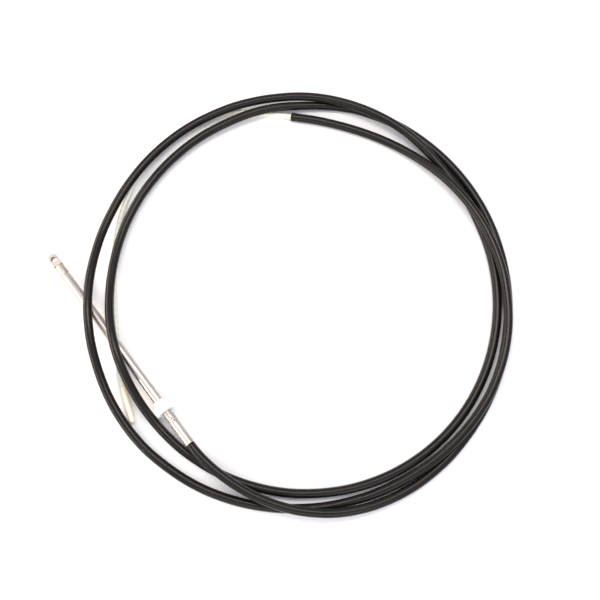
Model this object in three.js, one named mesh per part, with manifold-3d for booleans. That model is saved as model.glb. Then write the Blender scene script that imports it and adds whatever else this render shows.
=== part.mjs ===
// A rotary boat steering cable, loosely wound in two and a half turns on a level floor.
// Millimetres, +Z up, +X to the right and +Y away as the cable is looked down on.
// The origin is at the bottom centre of the whole cable's box.
import * as THREE from 'three';
import { mergeVertices } from 'three/addons/utils/BufferGeometryUtils.js';
import Module from 'manifold-3d';

const wasm = await Module();
wasm.setup();

// Clearances between pieces that touch or slide
const GAP = 0.3;
const SLIDING = 0.3;

// Casing of the cable, with the way that its centreline lies on the floor.
// Each point is a bearing in degrees from the coil's middle, counted on past 360 for the later
// turns, the distance from the middle, and the height of the centreline over the floor.
const JACKET_DIAMETER = 15;
const JACKET_SIDES = 12;
const JACKET_STEPS = 120;
const JACKET_WAY = [
  [233.4, 292.4, 23.4], [235.64, 295.8, 23.7], [241.3, 303.0, 24.4], [247, 309.8, 24.4],
  [253, 317.6, 23.6], [259, 325.3, 23.2], [265, 332.3, 23.2], [270, 337.7, 23.0],
  [276, 342.9, 21.6], [281, 346.2, 18.5], [287, 348.6, 14.5], [293, 349.8, 10.8],
  [299, 350.1, 8.6], [305, 349.7, 7.7], [315, 348.5, 7.6], [330, 347.2, 7.6],
  [345, 347.6, 7.6], [360, 349.9, 7.6], [375, 353.9, 7.6], [390, 359.7, 7.6],
  [405, 365.6, 7.6], [420, 371.2, 7.6], [432, 372.8, 7.6], [438, 371.6, 7.9],
  [444, 368.8, 8.9], [450, 365.4, 11.4], [456, 362.0, 16.2], [461, 359.2, 18.4],
  [467, 356.0, 18.2], [480, 349.8, 15.2], [492, 343.1, 13.9], [504, 336.0, 14.3],
  [514, 330.0, 15.3], [521, 325.8, 16.8], [527, 322.4, 18.8], [534, 318.8, 22.4],
  [541, 315.8, 28.0], [547, 313.7, 33.0], [553, 311.9, 35.5], [559, 310.4, 34.2],
  [566, 309.1, 27.4], [573, 308.2, 18.6], [580, 307.5, 11.4], [587, 307.2, 8.3],
  [594, 307.2, 7.6], [606, 307.9, 7.6], [618, 309.1, 7.6], [630, 310.9, 7.6],
  [645, 313.8, 7.6], [660, 317.0, 7.6], [675, 320.4, 7.6], [690, 323.8, 7.6],
  [705, 327.3, 7.6], [720, 331.5, 7.6], [735, 336.8, 7.6], [750, 343.2, 7.7],
  [756, 345.2, 8.3], [762, 347.9, 10.2], [768, 351.6, 13.8], [774, 356.6, 18.5],
  [780, 361.8, 21.6], [786, 366.2, 23.0], [792, 370.0, 23.7], [798, 373.4, 23.8],
  [804, 376.4, 23.1], [810, 378.6, 21.2], [816, 379.4, 19.1], [822, 379.7, 18.1],
  [830, 378.9, 17.8], [842, 375.7, 17.8], [854, 370.7, 17.8], [866, 364.7, 18.4],
  [878, 358.9, 21.0], [885, 355.8, 24.4], [892, 353.0, 29.4], [898, 351.2, 32.4],
  [902, 350.2, 33.3], [906, 349.5, 32.9], [912, 348.9, 29.4], [919, 348.5, 21.6],
  [926, 348.4, 16.2], [933, 347.8, 12.4], [940, 346.8, 9.6], [947, 344.9, 8.0],
  [960, 341.3, 7.6], [972, 337.9, 7.6], [984, 335.0, 7.6], [996, 333.3, 7.6],
  [1007, 332.7, 8.0], [1013, 332.9, 9.0], [1019, 333.6, 11.3], [1025, 334.8, 14.5],
  [1031, 336.3, 17.6], [1037, 338.0, 20.2], [1043, 340.0, 22.0], [1049, 342.0, 23.0],
  [1055, 343.7, 23.3], [1065, 345.4, 23.3], [1075, 345.7, 23.3], [1086, 344.4, 23.3],
  [1092, 343.3, 23.5], [1098, 341.7, 24.0], [1104, 339.8, 24.6], [1110, 337.8, 24.9],
  [1116, 336.1, 23.9], [1122, 335.0, 20.8], [1128, 334.4, 16.2], [1134, 334.2, 11.8],
  [1140, 334.0, 9.0], [1146, 333.9, 7.9], [1152, 334.3, 7.6], [1158, 335.9, 7.6],
  [1165, 339.8, 7.6], [1172.6, 346.0, 7.6],
];

// Plastic tube over the core, from the helm end of the casing, and the cap on its end
const SLEEVE_DIAMETER = 9.5;
const SLEEVE_SIDES = 12;
const SLEEVE_STEPS = 32;
const SLEEVE_WAY = [
  [92.65, 346.15, 7.6], [94.5, 348.6, 6.8], [97, 353.0, 5.2], [100.7, 360.5, 4.85],
  [104.6, 368.4, 4.85], [108.5, 375.6, 4.85], [112.4, 380.6, 4.85], [117.3, 383.5, 4.85],
  [125.2, 382.2, 4.85], [132, 377.8, 4.85], [138, 371.5, 4.85], [145.3, 360.4, 4.85],
  [152.4, 349.0, 4.85], [159.6, 337.5, 4.85], [165.8, 327.8, 4.85], [173, 317.6, 4.85],
  [180.7, 311.9, 4.85], [188.2, 310.8, 4.85], [194.7, 312.9, 4.85], [199.5, 317.1, 4.9],
  [202.9, 321.7, 5.1], [205.7, 323.2, 5.4],
];
const CAP_DIAMETER = 10.5;
const CAP_LENGTH = 62;
const CAP_ROUNDING = 4;
const CAP_SIDES = 24;
const CAP_ARC_STEPS = 6;

// Ferrule at the output end, measured from its face at the casing towards the eye
const HUB_DIAMETER = 15.9;
const HUB_BODY_LENGTH = 58.5;
const HUB_CHAMFER = 1;
const HUB_BORE_DEPTH = 38;
const NECK_DIAMETER = 14.2;
const NECK_LENGTH = 8.9;
const FLANGE_DIAMETER = 19.8;
const FLANGE_LENGTH = 9.4;
// Each row of crimps has its distance and its turn from the top, in degrees
const CRIMP_ROWS = [[45.6, 20], [50.5, 8]];
const CRIMP_COUNT = 6;
const CRIMP_RADIUS = 2.6;
const CRIMP_DEPTH = 0.8;
const CRIMP_SEGMENTS = 12;
const CRIMP_BANDS = 8;

// Coupling nut, captive on the flange
const NUT_ACROSS_FLATS = 28.6;
const NUT_HEX_LENGTH = 14.6;
const NUT_LIP = 2.4;
const NUT_CHAMFER = 1.4;
const COLLAR_DIAMETER = 21.2;
const COLLAR_LENGTH = 7.1;

// Fixed tube inside the ram, which ends short of the eye's spigot when the ram is drawn in
const GUIDE_DIAMETER = 12;
const GUIDE_BORE = 9.4;
const GUIDE_END_CLEARANCE = 6.6;

// Ram, drawn in as far as it goes
const RAM_DIAMETER = 15.9;
const RAM_BORE = 12.7;
const RAM_LENGTH = 282.3;

// Eye of the ram
const SHANK_LENGTH = 20.4;
const SPIGOT_LENGTH = 15;
const EYE_DISTANCE = 11.8;
const EYE_REACH = 11;
const EYE_CORNER = 3;
const EYE_THICKNESS = 9.5;
const EYE_BORE = 10.3;
const EYE_OVERLAP = 3;
const SHANK_CHAMFER = 3;

// The ram points a little down from the hub towards the eye
const RAM_TILT = THREE.MathUtils.degToRad(1.4);

const ROUND = 48;

// How far a drill or a hidden root runs past the face that it has to reach
const OVERRUN = 1;

const steel = new THREE.MeshStandardMaterial({ color: 0xcfc8bd, roughness: 0.28, metalness: 1 });
const satinSteel = new THREE.MeshStandardMaterial({ color: 0xc8c0b4, roughness: 0.38, metalness: 1 });
const blackVinyl = new THREE.MeshStandardMaterial({ color: 0x1c1b1a, roughness: 0.4, metalness: 0 });
const whiteNylon = new THREE.MeshStandardMaterial({ color: 0xf4f3ee, roughness: 0.5, metalness: 0 });
const milkyTube = new THREE.MeshStandardMaterial({ color: 0xdeddcb, roughness: 0.35, metalness: 0 });
const creamCap = new THREE.MeshStandardMaterial({ color: 0xf3e6c4, roughness: 0.45, metalness: 0 });

function solidOf(geometry) {
  const bare = geometry.index ? geometry.toNonIndexed() : geometry.clone();
  for (const name of Object.keys(bare.attributes)) {
    if (name !== 'position') bare.deleteAttribute(name);
  }
  const merged = mergeVertices(bare, 1e-4);
  return new wasm.Manifold(new wasm.Mesh({
    numProp: 3,
    vertProperties: new Float32Array(merged.attributes.position.array),
    triVerts: new Uint32Array(merged.index.array),
  }));
}

function geometryOf(solid) {
  const mesh = solid.getMesh();
  const geometry = new THREE.BufferGeometry();
  geometry.setAttribute('position', new THREE.BufferAttribute(mesh.vertProperties, 3));
  geometry.setIndex(new THREE.BufferAttribute(mesh.triVerts, 1));
  geometry.computeVertexNormals();
  return geometry;
}

// A turned piece on the Y axis: points are [radius, distance], from the axis back to the axis
function turned(points, segments = ROUND) {
  const profile = points.map(([radius, along]) => new THREE.Vector2(radius, along));
  return new THREE.LatheGeometry(profile, segments);
}

// A plain tube on the Y axis
function pipe(outside, inside, from, to) {
  const ring = [[inside, from], [outside, from], [outside, to], [inside, to], [inside, from]];
  return turned(ring.map(([diameter, along]) => [diameter / 2, along]));
}

// A rod on the Y axis, also used as a drill
function rod(diameter, from, to) {
  return turned([[0, from], [diameter / 2, from], [diameter / 2, to], [0, to]]);
}

function wayOf(points) {
  const places = points.map(([bearing, distance, height]) => {
    const angle = THREE.MathUtils.degToRad(bearing);
    return new THREE.Vector3(distance * Math.cos(angle), distance * Math.sin(angle), height);
  });
  const curve = new THREE.CatmullRomCurve3(places, false, 'centripetal');
  curve.arcLengthDivisions = 40 * points.length;
  return curve;
}

// A round cord along a curve
function cordAlong(curve, diameter, sides, steps) {
  const section = new THREE.Shape();
  for (let i = 0; i < sides; i += 1) {
    const angle = (2 * Math.PI * i) / sides;
    const x = (diameter / 2) * Math.cos(angle);
    const y = (diameter / 2) * Math.sin(angle);
    if (i === 0) section.moveTo(x, y);
    else section.lineTo(x, y);
  }
  section.closePath();
  return new THREE.ExtrudeGeometry(section, { steps, extrudePath: curve, curveSegments: 1 });
}

function piece(name, geometry, material) {
  const mesh = new THREE.Mesh(geometry, material);
  mesh.name = name;
  return mesh;
}

const jacketWay = wayOf(JACKET_WAY);
const sleeveWay = wayOf(SLEEVE_WAY);

// Places along the straight output end, counted from the hub's face at the casing
const neckEnd = HUB_BODY_LENGTH + NECK_LENGTH;
const flangeEnd = neckEnd + FLANGE_LENGTH;
const nutStart = neckEnd - GAP - NUT_LIP;
const hexEnd = nutStart + NUT_HEX_LENGTH;
const collarEnd = hexEnd + COLLAR_LENGTH;
const ramStart = flangeEnd + 2 * GAP;
const ramEnd = ramStart + RAM_LENGTH;
const shankStart = ramEnd + GAP;
const spigotStart = shankStart - SPIGOT_LENGTH;
const shankEnd = shankStart + SHANK_LENGTH;
const eyeCentre = shankEnd + EYE_DISTANCE;

function makeHub() {
  const outside = turned([
    [0, 0],
    [HUB_DIAMETER / 2 - HUB_CHAMFER, 0],
    [HUB_DIAMETER / 2, HUB_CHAMFER],
    [HUB_DIAMETER / 2, HUB_BODY_LENGTH - HUB_CHAMFER],
    [NECK_DIAMETER / 2, HUB_BODY_LENGTH],
    [NECK_DIAMETER / 2, neckEnd],
    [FLANGE_DIAMETER / 2, neckEnd],
    [FLANGE_DIAMETER / 2, flangeEnd],
    [0, flangeEnd],
  ]);
  const bore = rod(GUIDE_DIAMETER + 2 * GAP, flangeEnd - HUB_BORE_DEPTH, flangeEnd + OVERRUN);
  let hub = solidOf(outside).subtract(solidOf(bore));
  for (const [along, turn] of CRIMP_ROWS) {
    for (let i = 0; i < CRIMP_COUNT; i += 1) {
      const angle = THREE.MathUtils.degToRad(turn) + (2 * Math.PI * i) / CRIMP_COUNT;
      const out = HUB_DIAMETER / 2 + CRIMP_RADIUS - CRIMP_DEPTH;
      const dent = new THREE.SphereGeometry(CRIMP_RADIUS, CRIMP_SEGMENTS, CRIMP_BANDS);
      dent.translate(out * Math.sin(angle), along, out * Math.cos(angle));
      hub = hub.subtract(solidOf(dent));
    }
  }
  return geometryOf(hub);
}

function makeNut() {
  const corner = NUT_ACROSS_FLATS / Math.sqrt(3);
  const hexagon = new THREE.CylinderGeometry(corner, corner, NUT_HEX_LENGTH, 6);
  // One flat faces up and one down
  hexagon.rotateY(Math.PI / 2);
  hexagon.translate(0, nutStart + NUT_HEX_LENGTH / 2, 0);
  const rounding = turned([
    [0, nutStart],
    [corner - NUT_CHAMFER, nutStart],
    [corner, nutStart + NUT_CHAMFER],
    [corner, hexEnd - NUT_CHAMFER],
    [corner - NUT_CHAMFER, hexEnd],
    [0, hexEnd],
  ]);
  const collar = rod(COLLAR_DIAMETER, hexEnd - OVERRUN, collarEnd);
  const lipBore = rod(NECK_DIAMETER + 2 * SLIDING, nutStart - OVERRUN, neckEnd);
  const chamber = rod(FLANGE_DIAMETER + 2 * SLIDING, nutStart + NUT_LIP, flangeEnd + GAP);
  const ramBore = rod(RAM_DIAMETER + 2 * SLIDING, flangeEnd, collarEnd + OVERRUN);
  const nut = solidOf(hexagon).intersect(solidOf(rounding))
    .add(solidOf(collar))
    .subtract(solidOf(lipBore))
    .subtract(solidOf(chamber))
    .subtract(solidOf(ramBore));
  return geometryOf(nut);
}

function makeGuideTube() {
  const start = flangeEnd - HUB_BORE_DEPTH + GAP;
  return pipe(GUIDE_DIAMETER, GUIDE_BORE, start, spigotStart - GUIDE_END_CLEARANCE);
}

function makeRamTube() {
  return pipe(RAM_DIAMETER, RAM_BORE, ramStart, ramEnd);
}

function makeRamEnd() {
  const shank = turned([
    [0, spigotStart],
    [RAM_BORE / 2 - GAP, spigotStart],
    [RAM_BORE / 2 - GAP, shankStart],
    [RAM_DIAMETER / 2, shankStart],
    [RAM_DIAMETER / 2, shankEnd - SHANK_CHAMFER],
    [RAM_DIAMETER / 2 - SHANK_CHAMFER, shankEnd],
    [0, shankEnd],
  ]);
  const half = RAM_DIAMETER / 2;
  const outline = new THREE.Shape();
  outline.moveTo(-half, shankEnd - EYE_OVERLAP);
  outline.lineTo(half, shankEnd - EYE_OVERLAP);
  // The tip is an arc about the bore, and smaller arcs round its corners off to the sides
  const cornerSide = half - EYE_CORNER;
  const cornerAlong = Math.sqrt((EYE_REACH - EYE_CORNER) ** 2 - cornerSide ** 2);
  const lean = Math.atan2(cornerAlong, cornerSide);
  outline.lineTo(half, eyeCentre + cornerAlong);
  outline.absarc(cornerSide, eyeCentre + cornerAlong, EYE_CORNER, 0, lean, false);
  outline.absarc(0, eyeCentre, EYE_REACH, lean, Math.PI - lean, false);
  outline.absarc(-cornerSide, eyeCentre + cornerAlong, EYE_CORNER, Math.PI - lean, Math.PI, false);
  outline.lineTo(-half, shankEnd - EYE_OVERLAP);
  const tongue = new THREE.ExtrudeGeometry(outline, {
    depth: EYE_THICKNESS,
    bevelEnabled: false,
    curveSegments: ROUND / 4,
  });
  tongue.translate(0, 0, -EYE_THICKNESS / 2);
  // The tongue is milled from the round bar, so its hidden root stays inside the bar
  const bar = rod(RAM_DIAMETER, shankEnd - EYE_OVERLAP - OVERRUN, shankEnd);
  const free = rod(2 * RAM_DIAMETER, shankEnd, eyeCentre + EYE_REACH + OVERRUN);
  const drill = new THREE.CylinderGeometry(EYE_BORE / 2, EYE_BORE / 2, 2 * EYE_THICKNESS, ROUND);
  drill.rotateX(Math.PI / 2);
  drill.translate(0, eyeCentre, 0);
  const eye = solidOf(tongue)
    .intersect(solidOf(bar).add(solidOf(free)))
    .subtract(solidOf(drill));
  return geometryOf(solidOf(shank).add(eye));
}

function makeCap() {
  const corner = [];
  for (let i = 0; i <= CAP_ARC_STEPS; i += 1) {
    const angle = (Math.PI / 2) * (i / CAP_ARC_STEPS);
    corner.push([
      CAP_DIAMETER / 2 - CAP_ROUNDING + CAP_ROUNDING * Math.cos(angle),
      CAP_LENGTH - CAP_ROUNDING + CAP_ROUNDING * Math.sin(angle),
    ]);
  }
  return turned([[0, GAP], [CAP_DIAMETER / 2, GAP], ...corner, [0, CAP_LENGTH]], CAP_SIDES);
}

const cable = new THREE.Group();
cable.add(piece('jacket', cordAlong(jacketWay, JACKET_DIAMETER, JACKET_SIDES, JACKET_STEPS), blackVinyl));
cable.add(piece('core_sleeve', cordAlong(sleeveWay, SLEEVE_DIAMETER, SLEEVE_SIDES, SLEEVE_STEPS), milkyTube));

// The straight output end stands on the casing's start, its Y axis towards the eye
const start = jacketWay.getPoint(0);
const leaving = jacketWay.getTangent(0);
const level = new THREE.Vector3(-leaving.x, -leaving.y, 0).normalize();
const towardsEye = level.clone().multiplyScalar(Math.cos(RAM_TILT));
towardsEye.z = -Math.sin(RAM_TILT);
const sideways = new THREE.Vector3().crossVectors(towardsEye, new THREE.Vector3(0, 0, 1)).normalize();
const upwards = new THREE.Vector3().crossVectors(sideways, towardsEye);
const outputEnd = new THREE.Group();
outputEnd.quaternion.setFromRotationMatrix(new THREE.Matrix4().makeBasis(sideways, towardsEye, upwards));
outputEnd.position.copy(start).addScaledVector(towardsEye, GAP);
outputEnd.add(piece('hub', makeHub(), satinSteel));
outputEnd.add(piece('coupling_nut', makeNut(), whiteNylon));
outputEnd.add(piece('guide_tube', makeGuideTube(), steel));
outputEnd.add(piece('ram_tube', makeRamTube(), steel));
outputEnd.add(piece('ram_end', makeRamEnd(), steel));
cable.add(outputEnd);

// The cap carries on straight from the sleeve's end
const cap = piece('sleeve_cap', makeCap(), creamCap);
cap.position.copy(sleeveWay.getPoint(1));
cap.quaternion.setFromUnitVectors(new THREE.Vector3(0, 1, 0), sleeveWay.getTangent(1));
cable.add(cap);

// The whole cable is centred over its lowest point
const root = new THREE.Group();
root.add(cable);
root.updateMatrixWorld(true);
const box = new THREE.Box3().setFromObject(root, true);
const middle = box.getCenter(new THREE.Vector3());
cable.position.set(-middle.x, -middle.y, -box.min.z);
root.updateMatrixWorld(true);

export default root;
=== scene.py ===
import math

import bpy
import numpy as np
from mathutils import Matrix, Vector


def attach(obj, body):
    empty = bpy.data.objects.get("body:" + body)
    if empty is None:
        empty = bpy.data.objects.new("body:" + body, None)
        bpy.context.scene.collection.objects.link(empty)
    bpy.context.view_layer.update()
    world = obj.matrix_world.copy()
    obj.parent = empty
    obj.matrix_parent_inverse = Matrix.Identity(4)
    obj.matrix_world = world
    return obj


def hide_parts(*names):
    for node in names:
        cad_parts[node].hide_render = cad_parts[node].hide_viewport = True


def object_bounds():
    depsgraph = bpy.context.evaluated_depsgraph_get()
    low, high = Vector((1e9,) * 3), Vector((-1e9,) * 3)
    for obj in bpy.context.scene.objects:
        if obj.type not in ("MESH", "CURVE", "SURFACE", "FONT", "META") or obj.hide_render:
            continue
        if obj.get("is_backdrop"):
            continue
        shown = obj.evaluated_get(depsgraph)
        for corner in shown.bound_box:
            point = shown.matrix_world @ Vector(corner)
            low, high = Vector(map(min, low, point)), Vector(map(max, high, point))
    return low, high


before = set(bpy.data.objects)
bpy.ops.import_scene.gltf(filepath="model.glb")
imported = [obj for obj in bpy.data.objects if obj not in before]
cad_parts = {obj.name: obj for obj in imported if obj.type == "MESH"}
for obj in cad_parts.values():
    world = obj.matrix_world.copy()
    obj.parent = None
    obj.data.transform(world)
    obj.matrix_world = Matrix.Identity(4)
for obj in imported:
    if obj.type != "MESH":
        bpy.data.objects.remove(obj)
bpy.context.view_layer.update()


# Camera and light
# The cable lies on a white floor and is looked down on steeply from one side. A wide softbox hangs overhead,
# long warm ones stand low at the left and in front, and the pale sky around them is dark near the horizon.
def placed(name, data):
    """A new object of the scene."""
    made = bpy.data.objects.new(name, data)
    bpy.context.scene.collection.objects.link(made)
    return made


lens = bpy.data.cameras.new("camera")
lens.lens = 50
lens.sensor_width = 36
camera = placed("camera", lens)
camera.location = (0.0348, -0.37523, 1.36196)
camera.rotation_euler = (math.radians(15), 0, 0)
bpy.context.scene.camera = camera
bpy.context.scene.view_settings.view_transform = "Standard"

sky = bpy.data.worlds.new("sky")
sky.use_nodes = True
bpy.context.scene.world = sky
sky_nodes = sky.node_tree.nodes
sky_place = sky_nodes.new("ShaderNodeTexCoord")
sky_split = sky_nodes.new("ShaderNodeSeparateXYZ")
sky_shade = sky_nodes.new("ShaderNodeValToRGB")
sky_shade.color_ramp.elements[0].position = 0.0
sky_shade.color_ramp.elements[0].color = (0.10, 0.075, 0.055, 1)
sky_shade.color_ramp.elements[1].position = 0.55
sky_shade.color_ramp.elements[1].color = (0.93, 0.98, 1.12, 1)
sky.node_tree.links.new(sky_place.outputs["Generated"], sky_split.inputs[0])
sky.node_tree.links.new(sky_split.outputs["Z"], sky_shade.inputs[0])
sky.node_tree.links.new(sky_shade.outputs[0], sky_nodes["Background"].inputs["Color"])
sky_nodes["Background"].inputs["Strength"].default_value = 1.0


def softbox(name, place, aim, length, height, radiance, colour):
    """A rectangle of light, its long side level, whose face has the given radiance."""
    light = bpy.data.lights.new(name, "AREA")
    light.shape = "RECTANGLE"
    light.size = length
    light.size_y = height
    light.energy = radiance * math.pi * length * height
    light.color = colour
    made = placed(name, light)
    made.location = place
    made.rotation_euler = (Vector(aim) - Vector(place)).to_track_quat("-Z", "Y").to_euler()


softbox(
    "overhead", place=(0.15, 0.45, 2.0), aim=(0.15, 0.4501, 0), length=1.5, height=0.35, radiance=12,
    colour=(1.0, 0.88, 0.77))
softbox(
    "left", place=(-1.25, 0.1, 0.50), aim=(0, 0.1, 0), length=2.4, height=0.22, radiance=15,
    colour=(1.0, 0.84, 0.70))
softbox(
    "front", place=(0.1, -1.6, 0.9), aim=(0, -0.2, 0), length=2.0, height=0.8, radiance=2.2,
    colour=(1.0, 0.94, 0.88))


# Floor
# The cable was laid out on a matt white sheet without any edge in sight, so the floor runs on far beyond
# the picture.
FLOOR_REACH = 40.0

floor_mesh = bpy.data.meshes.new("floor")
floor_mesh.from_pydata(
    [(-FLOOR_REACH, -FLOOR_REACH, 0), (FLOOR_REACH, -FLOOR_REACH, 0),
     (FLOOR_REACH, FLOOR_REACH, 0), (-FLOOR_REACH, FLOOR_REACH, 0)],
    [], [(0, 1, 2, 3)])
floor = placed("floor", floor_mesh)
floor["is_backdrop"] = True
floor_paint = bpy.data.materials.new("floor_paint")
floor_paint.use_nodes = True
floor_surface = floor_paint.node_tree.nodes["Principled BSDF"]
floor_surface.inputs["Base Color"].default_value = (0.93, 0.93, 0.93, 1)
floor_surface.inputs["Roughness"].default_value = 0.9
floor_surface.inputs["Specular IOR Level"].default_value = 0.2
floor_mesh.materials.append(floor_paint)


# Casing
# Black vinyl, 15 mm thick, is extruded over the spiral of steel wires that the cable's core slides in.
# The cable is wound by hand in two and a half turns, which cross and lie on each other loosely.
CASING_THICKNESS = 0.015
CASING_SIDES = 32
CASING_STEP = 0.004
CASING_EDGE = 0.0006
LINE_STEPS = 40
COIL_MIDDLE = Vector((0.034802, -0.019025, -0.000071))
# Bearing in degrees from the coil's middle, counted on past 360 for the later turns, then the distance
# from the middle and the height of the centreline
CASING_WAY = [
    (233.4, 0.2924, 0.0234), (235.64, 0.2958, 0.0237), (241.3, 0.303, 0.0244), (247, 0.3098, 0.0244),
    (253, 0.3176, 0.0236), (259, 0.3253, 0.0232), (265, 0.3323, 0.0232), (270, 0.3377, 0.023),
    (276, 0.3429, 0.0216), (281, 0.3462, 0.0185), (287, 0.3486, 0.0145), (293, 0.3498, 0.0108),
    (299, 0.3501, 0.0086), (305, 0.3497, 0.0077), (315, 0.3485, 0.0076), (330, 0.3472, 0.0076),
    (345, 0.3476, 0.0076), (360, 0.3499, 0.0076), (375, 0.3539, 0.0076), (390, 0.3597, 0.0076),
    (405, 0.3656, 0.0076), (420, 0.3712, 0.0076), (432, 0.3728, 0.0076), (438, 0.3716, 0.0079),
    (444, 0.3688, 0.0089), (450, 0.3654, 0.0114), (456, 0.362, 0.0162), (461, 0.3592, 0.0184),
    (467, 0.356, 0.0182), (480, 0.3498, 0.0152), (492, 0.3431, 0.0139), (504, 0.336, 0.0143),
    (514, 0.33, 0.0153), (521, 0.3258, 0.0168), (527, 0.3224, 0.0188), (534, 0.3188, 0.0224),
    (541, 0.3158, 0.028), (547, 0.3137, 0.033), (553, 0.3119, 0.0355), (559, 0.3104, 0.0342),
    (566, 0.3091, 0.0274), (573, 0.3082, 0.0186), (580, 0.3075, 0.0114), (587, 0.3072, 0.0083),
    (594, 0.3072, 0.0076), (606, 0.3079, 0.0076), (618, 0.3091, 0.0076), (630, 0.3109, 0.0076),
    (645, 0.3138, 0.0076), (660, 0.317, 0.0076), (675, 0.3204, 0.0076), (690, 0.3238, 0.0076),
    (705, 0.3273, 0.0076), (720, 0.3315, 0.0076), (735, 0.3368, 0.0076), (750, 0.3432, 0.0077),
    (756, 0.3452, 0.0083), (762, 0.3479, 0.0102), (768, 0.3516, 0.0138), (774, 0.3566, 0.0185),
    (780, 0.3618, 0.0216), (786, 0.3662, 0.023), (792, 0.37, 0.0237), (798, 0.3734, 0.0238),
    (804, 0.3764, 0.0231), (810, 0.3786, 0.0212), (816, 0.3794, 0.0191), (822, 0.3797, 0.0181),
    (830, 0.3789, 0.0178), (842, 0.3757, 0.0178), (854, 0.3707, 0.0178), (866, 0.3647, 0.0184),
    (878, 0.3589, 0.021), (885, 0.3558, 0.0244), (892, 0.353, 0.0294), (898, 0.3512, 0.0324),
    (902, 0.3502, 0.0333), (906, 0.3495, 0.0329), (912, 0.3489, 0.0294), (919, 0.3485, 0.0216),
    (926, 0.3484, 0.0162), (933, 0.3478, 0.0124), (940, 0.3468, 0.0096), (947, 0.3449, 0.008),
    (960, 0.3413, 0.0076), (972, 0.3379, 0.0076), (984, 0.335, 0.0076), (996, 0.3333, 0.0076),
    (1007, 0.3327, 0.008), (1013, 0.3329, 0.009), (1019, 0.3336, 0.0113), (1025, 0.3348, 0.0145),
    (1031, 0.3363, 0.0176), (1037, 0.338, 0.0202), (1043, 0.34, 0.022), (1049, 0.342, 0.023),
    (1055, 0.3437, 0.0233), (1065, 0.3454, 0.0233), (1075, 0.3457, 0.0233), (1086, 0.3444, 0.0233),
    (1092, 0.3433, 0.0235), (1098, 0.3417, 0.024), (1104, 0.3398, 0.0246), (1110, 0.3378, 0.0249),
    (1116, 0.3361, 0.0239), (1122, 0.335, 0.0208), (1128, 0.3344, 0.0162), (1134, 0.3342, 0.0118),
    (1140, 0.334, 0.009), (1146, 0.3339, 0.0079), (1152, 0.3343, 0.0076), (1158, 0.3359, 0.0076),
    (1165, 0.3398, 0.0076), (1172.6, 0.346, 0.0076),
]


def laid_line(way):
    """The smooth line through the points of a way, closely sampled: a centripetal Catmull-Rom curve."""
    places = [
        (distance * math.cos(math.radians(bearing)), distance * math.sin(math.radians(bearing)), height)
        for bearing, distance, height in way
    ]
    points = np.array(places) + np.array(COIL_MIDDLE)
    points = np.vstack([2 * points[0] - points[1], points, 2 * points[-1] - points[-2]])
    share = np.linspace(0, 1, LINE_STEPS, endpoint=False)[:, None]
    line = []
    for p0, p1, p2, p3 in zip(points, points[1:], points[2:], points[3:]):
        t0 = math.sqrt(np.linalg.norm(p1 - p0))
        t1 = math.sqrt(np.linalg.norm(p2 - p1))
        t2 = math.sqrt(np.linalg.norm(p3 - p2))
        leave = ((p1 - p0) / t0 - (p2 - p0) / (t0 + t1) + (p2 - p1) / t1) * t1
        arrive = ((p2 - p1) / t1 - (p3 - p1) / (t1 + t2) + (p3 - p2) / t2) * t1
        cubic = 2 * p1 - 2 * p2 + leave + arrive
        square = -3 * p1 + 3 * p2 - 2 * leave - arrive
        line.append(cubic * share**3 + square * share**2 + leave * share + p1)
    return np.vstack([*line, points[-2:-1]])


def cord_mesh(name, line, thickness, sides, step, edge):
    """A round cord along a line, its cut ends rounded by edge. UV holds metres along and turns around."""
    reached = np.concatenate([[0], np.cumsum(np.linalg.norm(np.diff(line, axis=0), axis=1))])
    whole = reached[-1]
    middle = np.linspace(step, whole - step, round(whole / step))
    shoulder = 0.3 * edge
    along = np.concatenate([[0, shoulder, edge], middle, [whole - edge, whole - shoulder, whole]])
    radius = np.full(len(along), thickness / 2)
    radius[[0, -1]] -= edge
    radius[[1, -2]] -= shoulder
    centres = np.column_stack([np.interp(along, reached, line[:, k]) for k in range(3)])
    ahead = np.gradient(centres, along, axis=0)
    ahead /= np.linalg.norm(ahead, axis=1)[:, None]
    across = np.empty_like(ahead)
    across[0] = np.cross(ahead[0], (0, 0, 1))
    across[0] /= np.linalg.norm(across[0])
    for i in range(1, len(along)):
        carried = across[i - 1] - ahead[i] * (across[i - 1] @ ahead[i])
        across[i] = carried / np.linalg.norm(carried)
    over = np.cross(ahead, across)
    angle = np.arange(sides) * 2 * math.pi / sides
    rings = centres[:, None, :] + radius[:, None, None] * (
        np.cos(angle)[None, :, None] * across[:, None, :] + np.sin(angle)[None, :, None] * over[:, None, :])
    return ringed_mesh(name, rings, along)


def ringed_mesh(name, rings, along, closed=False):
    """A skin over rings of points. The end rings get flat faces, or closed joins the last to the first."""
    count, sides = rings.shape[:2]
    faces = []
    places = []
    for i in range(count if closed else count - 1):
        n = (i + 1) % count
        for j in range(sides):
            k = (j + 1) % sides
            faces.append((i * sides + j, i * sides + k, n * sides + k, n * sides + j))
            turn = j / sides
            next_turn = (j + 1) / sides
            places += [(along[i], turn), (along[i], next_turn), (along[n], next_turn), (along[n], turn)]
    if not closed:
        faces.append(tuple(reversed(range(sides))))
        faces.append(tuple(range((count - 1) * sides, count * sides)))
        places += [(along[0], j / sides) for j in reversed(range(sides))]
        places += [(along[-1], j / sides) for j in range(sides)]
    mesh = bpy.data.meshes.new(name)
    mesh.from_pydata([tuple(p) for p in rings.reshape(-1, 3)], [], faces)
    layer = mesh.uv_layers.new(name="UVMap")
    layer.data.foreach_set("uv", np.array(places, dtype=np.float32).ravel())
    mesh.shade_smooth()
    mesh.set_sharp_from_angle(angle=math.radians(50))
    return mesh


def dressed(piece, finish, body, node):
    """Gives a piece its finish and lets it ride on its body instead of the plain CAD node."""
    piece.data.materials.clear()
    piece.data.materials.append(finish)
    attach(piece, body)
    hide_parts(node)
    return piece


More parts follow.
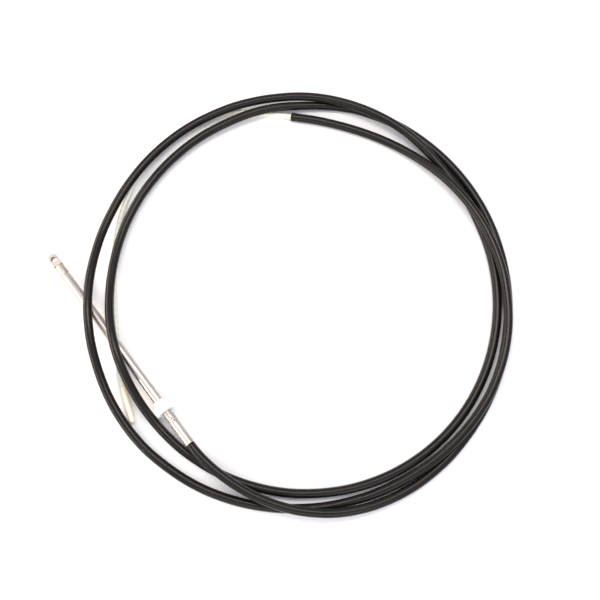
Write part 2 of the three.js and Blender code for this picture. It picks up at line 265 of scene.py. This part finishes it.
def new_finish(name, roughness, metallic=0.0):
    material = bpy.data.materials.new(name)
    material.use_nodes = True
    surface = material.node_tree.nodes["Principled BSDF"]
    surface.inputs["Roughness"].default_value = roughness
    surface.inputs["Metallic"].default_value = metallic
    return material, surface


def shade(material, kind, inputs, **settings):
    """Adds a shader node. An input is a value or another node's output."""
    made = material.node_tree.nodes.new(kind)
    for name, value in settings.items():
        setattr(made, name, value)
    for key, value in inputs.items():
        if isinstance(value, bpy.types.NodeSocket):
            material.node_tree.links.new(value, made.inputs[key])
        else:
            made.inputs[key].default_value = value
    return made


def reckon(material, operation, *values):
    """One step of reckoning with values or other nodes' outputs."""
    return shade(material, "ShaderNodeMath", dict(enumerate(values)), operation=operation).outputs[0]


def unrolled(material):
    """The metres along a cord or a turned piece and the turns around it, from its UV map."""
    place = shade(material, "ShaderNodeUVMap", {})
    split = shade(material, "ShaderNodeSeparateXYZ", {0: place.outputs[0]})
    return split.outputs[0], split.outputs[1]


def straightened(material, radius):
    """The place on a cord or a turned piece as if it lay straight along X, in metres."""
    along, turns = unrolled(material)
    angle = reckon(material, "MULTIPLY", turns, 2 * math.pi)
    side = reckon(material, "MULTIPLY", reckon(material, "COSINE", angle), radius)
    top = reckon(material, "MULTIPLY", reckon(material, "SINE", angle), radius)
    return shade(material, "ShaderNodeCombineXYZ", {0: along, 1: side, 2: top}).outputs[0]


def grain(material, place, stretch, detail=3.0, roughness=0.55):
    """Noise over a place, with its features per metre along each axis."""
    mapped = shade(material, "ShaderNodeMapping", {"Vector": place, "Scale": stretch})
    noise = shade(
        material, "ShaderNodeTexNoise",
        {"Vector": mapped.outputs[0], "Scale": 1.0, "Detail": detail, "Roughness": roughness})
    return noise.outputs[0]


def ramp(material, factor, low, high, low_value, high_value):
    """Turns a factor between low and high into a value between low_value and high_value."""
    made = shade(
        material, "ShaderNodeMapRange",
        {"Value": factor, "From Min": low, "From Max": high, "To Min": low_value, "To Max": high_value})
    return made.outputs[0]


def tint(material, share, one, other):
    """One colour turning into another by share. Each is a colour or another node's output."""
    made = shade(material, "ShaderNodeMix", {}, data_type="RGBA")
    for key, value in ((0, share), (6, one), (7, other)):
        if isinstance(value, bpy.types.NodeSocket):
            material.node_tree.links.new(value, made.inputs[key])
        elif isinstance(value, tuple):
            made.inputs[key].default_value = (*value, 1)
        else:
            made.inputs[key].default_value = value
    return made.outputs[2]


def relief(material, surface, height, depth, under=None):
    """Bump of a depth in metres on the surface, laid over another bump if there is one."""
    inputs = {"Height": height, "Distance": depth, "Strength": 1.0}
    if under is not None:
        inputs["Normal"] = under
    bump = shade(material, "ShaderNodeBump", inputs)
    material.node_tree.links.new(bump.outputs[0], surface.inputs["Normal"])
    return bump.outputs[0]


vinyl, vinyl_surface = new_finish("black_vinyl", 0.3)
vinyl_place = straightened(vinyl, CASING_THICKNESS / 2)
vinyl_dust = grain(vinyl, vinyl_place, (18, 45, 45), 4)
vinyl_streaks = grain(vinyl, vinyl_place, (6, 900, 900), 3)
vinyl_scuffs = grain(vinyl, vinyl_place, (140, 700, 700), 5, 0.7)
vinyl_skin = grain(vinyl, vinyl_place, (1400, 1400, 1400), 2)
vinyl_colour = tint(vinyl, ramp(vinyl, vinyl_dust, 0.4, 0.75, 0, 1), (0.0075, 0.0056, 0.0046),
                    (0.013, 0.0099, 0.0082))
vinyl_colour = tint(vinyl, ramp(vinyl, vinyl_scuffs, 0.68, 0.8, 0, 0.5), vinyl_colour, (0.05, 0.046, 0.042))
vinyl_surface.inputs["Specular IOR Level"].default_value = 0.22
vinyl.node_tree.links.new(vinyl_colour, vinyl_surface.inputs["Base Color"])
vinyl.node_tree.links.new(ramp(vinyl, vinyl_dust, 0.3, 0.75, 0.18, 0.26), vinyl_surface.inputs["Roughness"])
vinyl_bump = relief(vinyl, vinyl_surface, vinyl_streaks, 0.00004)
relief(vinyl, vinyl_surface, vinyl_skin, 0.00002, vinyl_bump)

casing_line = laid_line(CASING_WAY)
casing_mesh = cord_mesh("casing", casing_line, CASING_THICKNESS, CASING_SIDES, CASING_STEP, CASING_EDGE)
casing = dressed(placed("casing", casing_mesh), vinyl, "root", "jacket")


# Sleeve of the core
# At the helm end the wound steel core comes out of the casing inside a milky plastic tube, and only the
# slant of its winding shows through. The tube crosses under both turns and lies on the floor.
SLEEVE_THICKNESS = 0.0095
SLEEVE_SIDES = 24
SLEEVE_STEP = 0.003
SLEEVE_EDGE = 0.0004
WINDING_PITCH = 0.011
# Bearing, distance and height, as for the casing
SLEEVE_WAY = [
    (92.65, 0.34615, 0.0076), (94.5, 0.3486, 0.0068), (97, 0.353, 0.0052), (100.7, 0.3605, 0.00485),
    (104.6, 0.3684, 0.00485), (108.5, 0.3756, 0.00485), (112.4, 0.3806, 0.00485),
    (117.3, 0.3835, 0.00485), (125.2, 0.3822, 0.00485), (132, 0.3778, 0.00485), (138, 0.3715, 0.00485),
    (145.3, 0.3604, 0.00485), (152.4, 0.349, 0.00485), (159.6, 0.3375, 0.00485), (165.8, 0.3278, 0.00485),
    (173, 0.3176, 0.00485), (180.7, 0.3119, 0.00485), (188.2, 0.3108, 0.00485), (194.7, 0.3129, 0.00485),
    (199.5, 0.3171, 0.0049), (202.9, 0.3217, 0.0051), (205.7, 0.3232, 0.0054),
]
milky, milky_surface = new_finish("milky_tube", 0.33)
milky_place = straightened(milky, SLEEVE_THICKNESS / 2)
milky_along, milky_turns = unrolled(milky)
milky_wound = reckon(milky, "ADD", reckon(milky, "MULTIPLY", milky_along, 1 / WINDING_PITCH), milky_turns)
milky_winding = reckon(milky, "SINE", reckon(milky, "MULTIPLY", milky_wound, 2 * math.pi))
milky_cloud = grain(milky, milky_place, (30, 120, 120), 3)
milky_colour = tint(milky, ramp(milky, milky_winding, -0.3, 0.8, 0, 0.5), (0.80, 0.80, 0.70),
                    (0.68, 0.68, 0.57))
milky_colour = tint(milky, ramp(milky, milky_cloud, 0.35, 0.7, 0, 0.35), milky_colour, (0.82, 0.80, 0.68))
milky.node_tree.links.new(milky_colour, milky_surface.inputs["Base Color"])
milky_surface.inputs["Subsurface Weight"].default_value = 0.25
milky_surface.inputs["Subsurface Radius"].default_value = (1.0, 0.9, 0.6)
milky_surface.inputs["Subsurface Scale"].default_value = 0.003
relief(milky, milky_surface, grain(milky, milky_place, (20, 700, 700), 2), 0.00003)

sleeve_line = laid_line(SLEEVE_WAY)
sleeve_mesh = cord_mesh(
    "core_tube", sleeve_line, SLEEVE_THICKNESS, SLEEVE_SIDES, SLEEVE_STEP, SLEEVE_EDGE)
sleeve = dressed(placed("core_tube", sleeve_mesh), milky, "root", "core_sleeve")


# Cap of the sleeve
# A short cap of moulded cream-yellow plastic is pushed over the tube's end and keeps the core's end clean.
# Its mouth is square and its tip is rounded.
CAP_RADIUS = 0.00525
CAP_LENGTH = 0.062
CAP_TIP = 0.004
CAP_TIP_STEPS = 10
CAP_MOUTH_EDGE = 0.0008
CAP_GAP = 0.0003
# A turned outline starts and ends just off the axis, where a small flat closes the skin
CAP_MIDDLE = 0.0002


def turned_rings(outline, sides):
    """Rings about the Y axis from an outline of radius and distance, run from the back to the front."""
    angle = np.arange(sides) * 2 * math.pi / sides
    shape = np.array(outline)
    rings = np.empty((len(shape), sides, 3))
    rings[:, :, 0] = shape[:, :1] * np.sin(angle)
    rings[:, :, 1] = shape[:, 1:]
    rings[:, :, 2] = shape[:, :1] * np.cos(angle)
    return rings


def eased(outline, rounding, closed=False, steps=4):
    """The outline with an arc of up to the given radius at each of its corners."""
    points = [Vector(p) for p in outline]
    made = []
    for i, corner in enumerate(points):
        if not closed and i in (0, len(points) - 1):
            made.append(tuple(corner))
            continue
        back = points[i - 1] - corner
        on = points[(i + 1) % len(points)] - corner
        bend = back.angle(on)
        cut = min(rounding / math.tan(bend / 2), 0.45 * back.length, 0.45 * on.length)
        radius = cut * math.tan(bend / 2)
        centre = corner + (back.normalized() + on.normalized()).normalized() * (radius / math.sin(bend / 2))
        first = corner + back.normalized() * cut - centre
        last = corner + on.normalized() * cut - centre
        turn = first.angle_signed(last)
        for step in range(steps + 1):
            made.append(tuple(centre + Matrix.Rotation(-turn * step / steps, 2) @ first))
    return made


def turned_mesh(name, outline, sides=96, closed=False):
    rings = turned_rings(outline, sides)
    return ringed_mesh(name, rings, [p[1] for p in outline], closed)


cap_outline = [
    (CAP_MIDDLE, CAP_GAP), (CAP_RADIUS - CAP_MOUTH_EDGE, CAP_GAP), (CAP_RADIUS, CAP_GAP + CAP_MOUTH_EDGE)]
for step in range(CAP_TIP_STEPS + 1):
    lean = math.radians(90 * step / CAP_TIP_STEPS)
    cap_outline.append((
        CAP_RADIUS - CAP_TIP + CAP_TIP * math.cos(lean), CAP_LENGTH - CAP_TIP + CAP_TIP * math.sin(lean)))
cap_outline.append((CAP_MIDDLE, CAP_LENGTH))
cream, cream_surface = new_finish("cream_plastic", 0.42)
cream_place = straightened(cream, CAP_RADIUS)
cream_cloud = grain(cream, cream_place, (35, 120, 120), 4)
cream_colour = tint(cream, ramp(cream, cream_cloud, 0.35, 0.7, 0, 1), (0.88, 0.83, 0.66), (0.86, 0.76, 0.58))
cream.node_tree.links.new(cream_colour, cream_surface.inputs["Base Color"])
cream_surface.inputs["Subsurface Weight"].default_value = 0.2
cream_surface.inputs["Subsurface Radius"].default_value = (1.0, 0.7, 0.35)
cream_surface.inputs["Subsurface Scale"].default_value = 0.003
cream.node_tree.links.new(ramp(cream, cream_cloud, 0.3, 0.7, 0.36, 0.5), cream_surface.inputs["Roughness"])
relief(cream, cream_surface, grain(cream, cream_place, (900, 900, 900), 2), 0.00003)
cap = placed("sleeve_cap_tip", turned_mesh("sleeve_cap_tip", cap_outline, sides=64))
dressed(cap, cream, "root", "sleeve_cap")
cap_direction = Vector(sleeve_line[-1] - sleeve_line[-3]).normalized()
cap.matrix_world = (
    Matrix.Translation(Vector(sleeve_line[-1])) @ cap_direction.to_track_quat("Y", "Z").to_matrix().to_4x4())


# Hub
# A stainless ferrule is turned from bar, pushed over the cable's end and crimped on it with two rows of six
# dents. A neck and a flange at its front carry the coupling nut, and the fixed tube sits in its bore.
HUB_FACE = Vector((-0.139719, -0.253533, 0.023321))
TOWARDS_EYE = Vector((-0.615511, 0.787749, -0.024432))
HUB_RADIUS = 0.00795
HUB_BODY_END = 0.0585
NECK_RADIUS = 0.0071
NECK_END = 0.0674
FLANGE_RADIUS = 0.0099
FLANGE_END = 0.0768
HUB_BORE_RADIUS = 0.0063
HUB_BORE_DEPTH = 0.038
HUB_TAPER = 0.0008
HUB_EDGE = 0.0005
HUB_FINENESS = 0.0008
HUB_MIDDLE = 0.0004
# Each row of dents has its distance and its turn from the top, in degrees
CRIMP_ROWS = ((0.0456, 20), (0.0505, 8))
CRIMPS_IN_ROW = 6
CRIMP_REACH = 0.00208
CRIMP_DEPTH = 0.0008
# Only the skin at this depth or less is dented, so the bore stays round
CRIMP_SKIN = 0.0002

sideways = TOWARDS_EYE.cross(Vector((0, 0, 1))).normalized()
upwards = sideways.cross(TOWARDS_EYE)
output_end = Matrix((sideways, TOWARDS_EYE, upwards)).transposed().to_4x4()
output_end.translation = HUB_FACE


def stand_on_end(piece):
    """Moves a piece that was made along Y into the line of the output end."""
    piece.matrix_world = output_end


def refined(outline, longest):
    """The outline with points added so that no stretch of it is longer than longest."""
    made = [outline[0]]
    for one, other in zip(outline, outline[1:]):
        count = max(1, math.ceil((Vector(other) - Vector(one)).length / longest))
        for step in range(1, count + 1):
            made.append(tuple(Vector(one).lerp(Vector(other), step / count)))
    return made


def steel_finish(name, radius, colour, stained, roughness):
    """Stainless steel with the fine rings of turning or grinding, soft lengthwise smears and stains."""
    material, surface = new_finish(name, roughness, 1.0)
    place = straightened(material, radius)
    rings = grain(material, place, (5000, 40, 40), 2)
    smears = grain(material, place, (14, 260, 260), 4)
    clouds = grain(material, place, (45, 130, 130), 4)
    smeared = tuple(0.78 * c for c in colour)
    hue = tint(material, ramp(material, clouds, 0.42, 0.72, 0, 1), colour, stained)
    hue = tint(material, ramp(material, smears, 0.45, 0.75, 0, 0.5), hue, smeared)
    material.node_tree.links.new(hue, surface.inputs["Base Color"])
    gloss = ramp(material, smears, 0.3, 0.7, roughness - 0.05, roughness + 0.09)
    material.node_tree.links.new(gloss, surface.inputs["Roughness"])
    relief(material, surface, rings, 0.000004)
    return material, surface, hue


hub_outline = [
    (HUB_MIDDLE, 0.0), (HUB_RADIUS, 0.0), (HUB_RADIUS, HUB_BODY_END),
    (NECK_RADIUS, HUB_BODY_END + HUB_TAPER), (NECK_RADIUS, NECK_END), (FLANGE_RADIUS, NECK_END),
    (FLANGE_RADIUS, FLANGE_END), (HUB_BORE_RADIUS, FLANGE_END),
    (HUB_BORE_RADIUS, FLANGE_END - HUB_BORE_DEPTH), (HUB_MIDDLE, FLANGE_END - HUB_BORE_DEPTH),
]
hub_shape = refined(eased(hub_outline, HUB_EDGE), HUB_FINENESS)
hub_rings = turned_rings(hub_shape, sides=96)
hub_dent = np.zeros(hub_rings.shape[:2])
for along, turn in CRIMP_ROWS:
    for i in range(CRIMPS_IN_ROW):
        angle = math.radians(turn) + 2 * math.pi * i / CRIMPS_IN_ROW
        spot = np.array([HUB_RADIUS * math.sin(angle), along, HUB_RADIUS * math.cos(angle)])
        away = np.linalg.norm(hub_rings - spot, axis=2)
        hub_dent = np.maximum(hub_dent, np.clip(1 - (away / CRIMP_REACH)**2, 0, 1))
outside = np.array([r > HUB_RADIUS - CRIMP_SKIN and y < HUB_BODY_END for r, y in hub_shape])
hub_dent *= outside[:, None]
shrink = 1 - hub_dent * CRIMP_DEPTH / HUB_RADIUS
hub_rings[:, :, 0] *= shrink
hub_rings[:, :, 2] *= shrink
hub_mesh = ringed_mesh("hub_ferrule", hub_rings, [p[1] for p in hub_shape])
hub_mark = hub_mesh.attributes.new("crimp", "FLOAT", "POINT")
hub_mark.data.foreach_set("value", hub_dent.astype(np.float32).ravel())
hub_steel, hub_surface, hub_hue = steel_finish(
    "satin_steel", HUB_RADIUS, (0.57, 0.53, 0.49), (0.47, 0.41, 0.36), 0.42)
hub_crimps = shade(hub_steel, "ShaderNodeAttribute", {}, attribute_name="crimp")
hub_brown = tint(hub_steel, ramp(hub_steel, hub_crimps.outputs["Fac"], 0.15, 0.8, 0, 0.5), hub_hue,
                 (0.19, 0.105, 0.07))
hub_steel.node_tree.links.new(hub_brown, hub_surface.inputs["Base Color"])
stand_on_end(dressed(placed("hub_ferrule", hub_mesh), hub_steel, "root", "hub"))


# Fixed tube
# A thin stainless tube is swaged in the hub's bore and guides the core. The ram slides over it, so it shows
# only while the ram is drawn out.
GUIDE_RADIUS = 0.006
GUIDE_BORE_RADIUS = 0.0047
GUIDE_START = 0.0391
GUIDE_END = 0.3384
GUIDE_EDGE = 0.0003


def tube_outline(bore_radius, radius, start, end, edge):
    """The closed outline of a tube's wall, its four corners rounded by edge."""
    corners = [(bore_radius, start), (radius, start), (radius, end), (bore_radius, end)]
    return eased(corners, edge, closed=True)


guide_shape = tube_outline(GUIDE_BORE_RADIUS, GUIDE_RADIUS, GUIDE_START, GUIDE_END, GUIDE_EDGE)
guide_steel = steel_finish(
    "drawn_steel", GUIDE_RADIUS, (0.58, 0.53, 0.47), (0.50, 0.44, 0.37), 0.32)[0]
guide = placed("fixed_tube", turned_mesh("fixed_tube", guide_shape, sides=64, closed=True))
stand_on_end(dressed(guide, guide_steel, "root", "guide_tube"))


# Coupling nut
# A hexagon nut with a round collar is moulded in white nylon and turns freely on the hub's flange. It
# screws on the motor's tilt tube and holds the cable to it.
NUT_HALF = 0.0143
NUT_START = 0.0647
HEX_END = 0.0793
COLLAR_RADIUS = 0.0106
COLLAR_END = 0.0864
NUT_CHAMFER = 0.0014
NUT_CHAMFER_LENGTH = 0.0025
NUT_CHAMFER_STEPS = 14
NUT_CORNER_ROUNDING = 0.0012
NUT_EDGE = 0.0005
NUT_SIDES = 144
# Rings on the flat back face, and where the flat front face starts outside the collar
NUT_BACK_RADII = (0.0105, 0.0125)
NUT_FRONT_RADIUS = 0.0128
NUT_INNER_ROUNDING = 0.0008
LIP_EDGE = 0.0004
LIP_BORE_RADIUS = 0.0074
LIP_END = 0.0671
CHAMBER_RADIUS = 0.0102
CHAMBER_END = 0.0771
RAM_BORE_RADIUS = 0.00825


def hexagon_radius(angle, half, rounding):
    """How far a hexagon reaches at an angle, with its corners rounded. One flat faces up at angle 0."""
    off = (angle + math.pi / 6) % (math.pi / 3) - math.pi / 6
    flat = half / np.cos(off)
    corner = half / math.cos(math.pi / 6)
    inset = rounding / math.cos(math.pi / 6)
    centre = corner - inset
    away = math.pi / 6 - np.abs(off)
    root = rounding**2 - (centre * np.sin(away))**2
    rounded = centre * np.cos(away) + np.sqrt(np.maximum(root, 0))
    past = np.abs(np.tan(off)) * half > centre * math.sin(math.pi / 6)
    return np.where(past & (root > 0), rounded, flat)


nut_angle = np.arange(NUT_SIDES) * 2 * math.pi / NUT_SIDES
nut_hex = hexagon_radius(nut_angle, NUT_HALF, NUT_CORNER_ROUNDING)
nut_corner = NUT_HALF / math.cos(math.pi / 6)
nut_rings = []
nut_along = []


def nut_ring(radius, along):
    """Adds a ring to the nut, with one radius all round or a radius at each of its angles."""
    ring = np.empty((NUT_SIDES, 3))
    ring[:, 0] = radius * np.sin(nut_angle)
    ring[:, 1] = along
    ring[:, 2] = radius * np.cos(nut_angle)
    nut_rings.append(ring)
    nut_along.append(along)


def chamfered_hexagon(past):
    """How far the hexagon reaches at a distance past its end face, inside the chamfer's cone."""
    rounded_off = NUT_EDGE * max(0.0, 1 - past / NUT_EDGE)**2
    return np.minimum(nut_hex - rounded_off, nut_corner - NUT_CHAMFER + past)


nut_ring(LIP_BORE_RADIUS, NUT_START + LIP_EDGE)
for radius in (LIP_BORE_RADIUS + LIP_EDGE, *NUT_BACK_RADII):
    nut_ring(radius, NUT_START)
chamfer_steps = [NUT_CHAMFER_LENGTH * step / NUT_CHAMFER_STEPS for step in range(NUT_CHAMFER_STEPS + 1)]
for past in chamfer_steps:
    nut_ring(chamfered_hexagon(past), NUT_START + past)
for past in reversed(chamfer_steps):
    nut_ring(chamfered_hexagon(past), HEX_END - past)
nut_front = eased([
    (NUT_FRONT_RADIUS, HEX_END), (COLLAR_RADIUS, HEX_END), (COLLAR_RADIUS, COLLAR_END),
    (RAM_BORE_RADIUS, COLLAR_END), (RAM_BORE_RADIUS, CHAMBER_END), (CHAMBER_RADIUS, CHAMBER_END),
    (CHAMBER_RADIUS, LIP_END), (LIP_BORE_RADIUS, LIP_END)], NUT_INNER_ROUNDING)
for radius, along in nut_front:
    nut_ring(radius, along)
nut_mesh = ringed_mesh("nut", np.array(nut_rings), nut_along, closed=True)
nylon, nylon_surface = new_finish("white_nylon", 0.45)
nylon_place = shade(nylon, "ShaderNodeTexCoord", {}).outputs["Object"]
nylon_cloud = grain(nylon, nylon_place, (90, 90, 90), 4)
nylon_grime = grain(nylon, nylon_place, (420, 420, 420), 5, 0.65)
nylon_colour = tint(nylon, ramp(nylon, nylon_cloud, 0.35, 0.75, 0, 1), (0.84, 0.835, 0.815),
                    (0.80, 0.78, 0.73))
nylon_colour = tint(nylon, ramp(nylon, nylon_grime, 0.66, 0.8, 0, 0.3), nylon_colour, (0.55, 0.51, 0.45))
nylon.node_tree.links.new(nylon_colour, nylon_surface.inputs["Base Color"])
nylon_surface.inputs["Subsurface Weight"].default_value = 0.15
nylon_surface.inputs["Subsurface Radius"].default_value = (1.0, 0.95, 0.85)
nylon_surface.inputs["Subsurface Scale"].default_value = 0.002
nylon.node_tree.links.new(ramp(nylon, nylon_cloud, 0.3, 0.7, 0.38, 0.52), nylon_surface.inputs["Roughness"])
relief(nylon, nylon_surface, grain(nylon, nylon_place, (1500, 1500, 1500), 2), 0.00003)
stand_on_end(dressed(placed("nut", nut_mesh), nylon, "nut", "coupling_nut"))


# Ram
# The output ram is a straight stainless tube, ground bright on the outside. It slides over the fixed tube
# and pushes the steering arm through its eye.
RAM_RADIUS = 0.00795
RAM_INNER_RADIUS = 0.00635
RAM_START = 0.0774
RAM_END = 0.3597
RAM_EDGE = 0.0004

ram_shape = tube_outline(RAM_INNER_RADIUS, RAM_RADIUS, RAM_START, RAM_END, RAM_EDGE)
ram_steel = steel_finish("bright_steel", RAM_RADIUS, (0.56, 0.52, 0.48), (0.47, 0.415, 0.37), 0.36)[0]
ram = placed("ram", turned_mesh("ram", ram_shape, sides=96, closed=True))
stand_on_end(dressed(ram, ram_steel, "ram", "ram_tube"))


# Eye
# The ram's end is turned and milled from one stainless bar. Its spigot is pressed in the ram, its shank ends
# in a cone, and its flat tongue has a rounded tip and a bore for the bolt of the steering link. The bore's
# wall and a thin ring round it on the flat are painted dark brown as shade.
SHANK_START = 0.36
SPIGOT_START = 0.345
SPIGOT_RADIUS = 0.00605
SHANK_END = 0.3804
SHANK_CHAMFER = 0.003
EYE_CENTRE = 0.3922
EYE_REACH = 0.011
EYE_CORNER = 0.003
EYE_HALF_THICKNESS = 0.00475
EYE_BORE_RADIUS = 0.00515
EYE_COUNTERSINK = 0.0004
SHANK_MIDDLE = 0.0003
SHANK_EDGE = 0.0003
TONGUE_EDGE = 0.0007
TONGUE_EDGE_STEPS = 5
TONGUE_CORNER_STEPS = 8
TONGUE_TIP_STEPS = 12
# The tongue starts inside the shank, and widens just before its end face so that the two solids join
TONGUE_ROOT_HALF = 0.005
TONGUE_ROOT_DEPTH = 0.003
TONGUE_OVERLAP = 0.00002
# The drill's cone runs on past the flat, and the drill ends clear of the tongue
DRILL_CONE_END = 0.00495
DRILL_CONE_EXTRA = 0.0002
DRILL_RADIUS = 0.0075
DRILL_END = 0.008
# Painted shade in the bore: dark brown over its wall, fading out on the flat round it, full and gone at
# these distances from the wall
BORE_SHADE_FULL = 0.0001
BORE_SHADE_GONE = 0.0005


def carved(piece, tool, operation):
    """Applies one boolean to a piece and removes the tool."""
    change = piece.modifiers.new("cut", "BOOLEAN")
    change.operation = operation
    change.object = tool
    change.solver = "EXACT"
    seen = piece.evaluated_get(bpy.context.evaluated_depsgraph_get())
    mesh = bpy.data.meshes.new_from_object(seen)
    piece.modifiers.clear()
    piece.data = mesh
    bpy.data.objects.remove(tool)


shank_outline = eased([
    (SHANK_MIDDLE, SPIGOT_START), (SPIGOT_RADIUS, SPIGOT_START), (SPIGOT_RADIUS, SHANK_START),
    (RAM_RADIUS, SHANK_START), (RAM_RADIUS, SHANK_END - SHANK_CHAMFER),
    (RAM_RADIUS - SHANK_CHAMFER, SHANK_END), (SHANK_MIDDLE, SHANK_END)], SHANK_EDGE)
eye = placed("eye", turned_mesh("eye", shank_outline, sides=96))


def tongue_outline(inset):
    """The flat's outline, its tip an arc about the bore with rounded corners, drawn in by inset."""
    side = RAM_RADIUS - EYE_CORNER
    along = math.sqrt((EYE_REACH - EYE_CORNER)**2 - side**2)
    lean = math.atan2(along, side)
    corner = EYE_CORNER - inset
    tip = EYE_REACH - inset
    made = [
        (TONGUE_ROOT_HALF, SHANK_END - TONGUE_ROOT_DEPTH), (TONGUE_ROOT_HALF, SHANK_END - TONGUE_OVERLAP),
        (RAM_RADIUS - inset, SHANK_END - TONGUE_OVERLAP)]
    for step in range(TONGUE_CORNER_STEPS + 1):
        angle = lean * step / TONGUE_CORNER_STEPS
        made.append((side + corner * math.cos(angle), EYE_CENTRE + along + corner * math.sin(angle)))
    for step in range(1, TONGUE_TIP_STEPS):
        angle = lean + (math.pi / 2 - lean) * step / TONGUE_TIP_STEPS
        made.append((tip * math.cos(angle), EYE_CENTRE + tip * math.sin(angle)))
    return made + [(0, EYE_CENTRE + EYE_REACH - inset)] + [(-x, y) for x, y in reversed(made)]


tongue_layers = []
for step in range(TONGUE_EDGE_STEPS + 1):
    lean = math.pi / 2 * step / TONGUE_EDGE_STEPS
    height = -EYE_HALF_THICKNESS + TONGUE_EDGE * (1 - math.cos(lean))
    outline = tongue_outline(TONGUE_EDGE * (1 - math.sin(lean)))
    tongue_layers.append([(x, y, height) for x, y in outline])
tongue_layers += [[(x, y, -z) for x, y, z in layer] for layer in reversed(tongue_layers)]
tongue_count = len(tongue_layers[0])
tongue_faces = [tuple(reversed(range(tongue_count)))]
for level in range(len(tongue_layers) - 1):
    for j in range(tongue_count):
        k = (j + 1) % tongue_count
        low = level * tongue_count
        high = low + tongue_count
        tongue_faces.append((low + j, low + k, high + k, high + j))
top = (len(tongue_layers) - 1) * tongue_count
tongue_faces.append(tuple(range(top, top + tongue_count)))
tongue_mesh = bpy.data.meshes.new("tongue")
tongue_mesh.from_pydata([p for layer in tongue_layers for p in layer], [], tongue_faces)
carved(eye, placed("tongue", tongue_mesh), "UNION")

drill_half = [
    (EYE_BORE_RADIUS, EYE_HALF_THICKNESS - EYE_COUNTERSINK),
    (EYE_BORE_RADIUS + EYE_COUNTERSINK + DRILL_CONE_EXTRA, DRILL_CONE_END),
    (DRILL_RADIUS, DRILL_END), (SHANK_MIDDLE, DRILL_END)]
drill_outline = [(radius, -along) for radius, along in reversed(drill_half)] + drill_half
drill = placed("drill", turned_mesh("drill", drill_outline, sides=64))
drill.matrix_world = Matrix.Translation((0, EYE_CENTRE, 0)) @ Matrix.Rotation(math.pi / 2, 4, "X")
bpy.context.view_layer.update()
carved(eye, drill, "DIFFERENCE")
eye.data.shade_smooth()
eye.data.set_sharp_from_angle(angle=math.radians(35))

eye_steel, eye_surface = new_finish("milled_steel", 0.42, 1.0)
eye_place = shade(eye_steel, "ShaderNodeTexCoord", {}).outputs["Object"]
eye_cloud = grain(eye_steel, eye_place, (160, 160, 160), 4)
eye_lines = grain(eye_steel, eye_place, (4000, 60, 4000), 2)
eye_hue = tint(eye_steel, ramp(eye_steel, eye_cloud, 0.4, 0.72, 0, 1), (0.52, 0.48, 0.44),
               (0.42, 0.365, 0.32))
eye_split = shade(eye_steel, "ShaderNodeSeparateXYZ", {0: eye_place})
eye_along = reckon(eye_steel, "SUBTRACT", eye_split.outputs[1], EYE_CENTRE)
eye_flat = shade(eye_steel, "ShaderNodeCombineXYZ", {0: eye_split.outputs[0], 1: eye_along})
eye_away = shade(eye_steel, "ShaderNodeVectorMath", {0: eye_flat.outputs[0]}, operation="LENGTH")
# Painted shade: the bore's wall and a thin ring round it on the flat turn dark brown, standing in for the
# shadow in the hole
eye_bore_painted_shade = ramp(
    eye_steel, eye_away.outputs["Value"], EYE_BORE_RADIUS + BORE_SHADE_FULL, EYE_BORE_RADIUS + BORE_SHADE_GONE,
    0.9, 0)
eye_hue = tint(eye_steel, eye_bore_painted_shade, eye_hue, (0.22, 0.165, 0.13))
eye_steel.node_tree.links.new(eye_hue, eye_surface.inputs["Base Color"])
eye_steel.node_tree.links.new(ramp(eye_steel, eye_cloud, 0.3, 0.7, 0.38, 0.5),
                              eye_surface.inputs["Roughness"])
relief(eye_steel, eye_surface, eye_lines, 0.000006)
stand_on_end(dressed(eye, eye_steel, "ram", "ram_end"))

low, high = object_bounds()
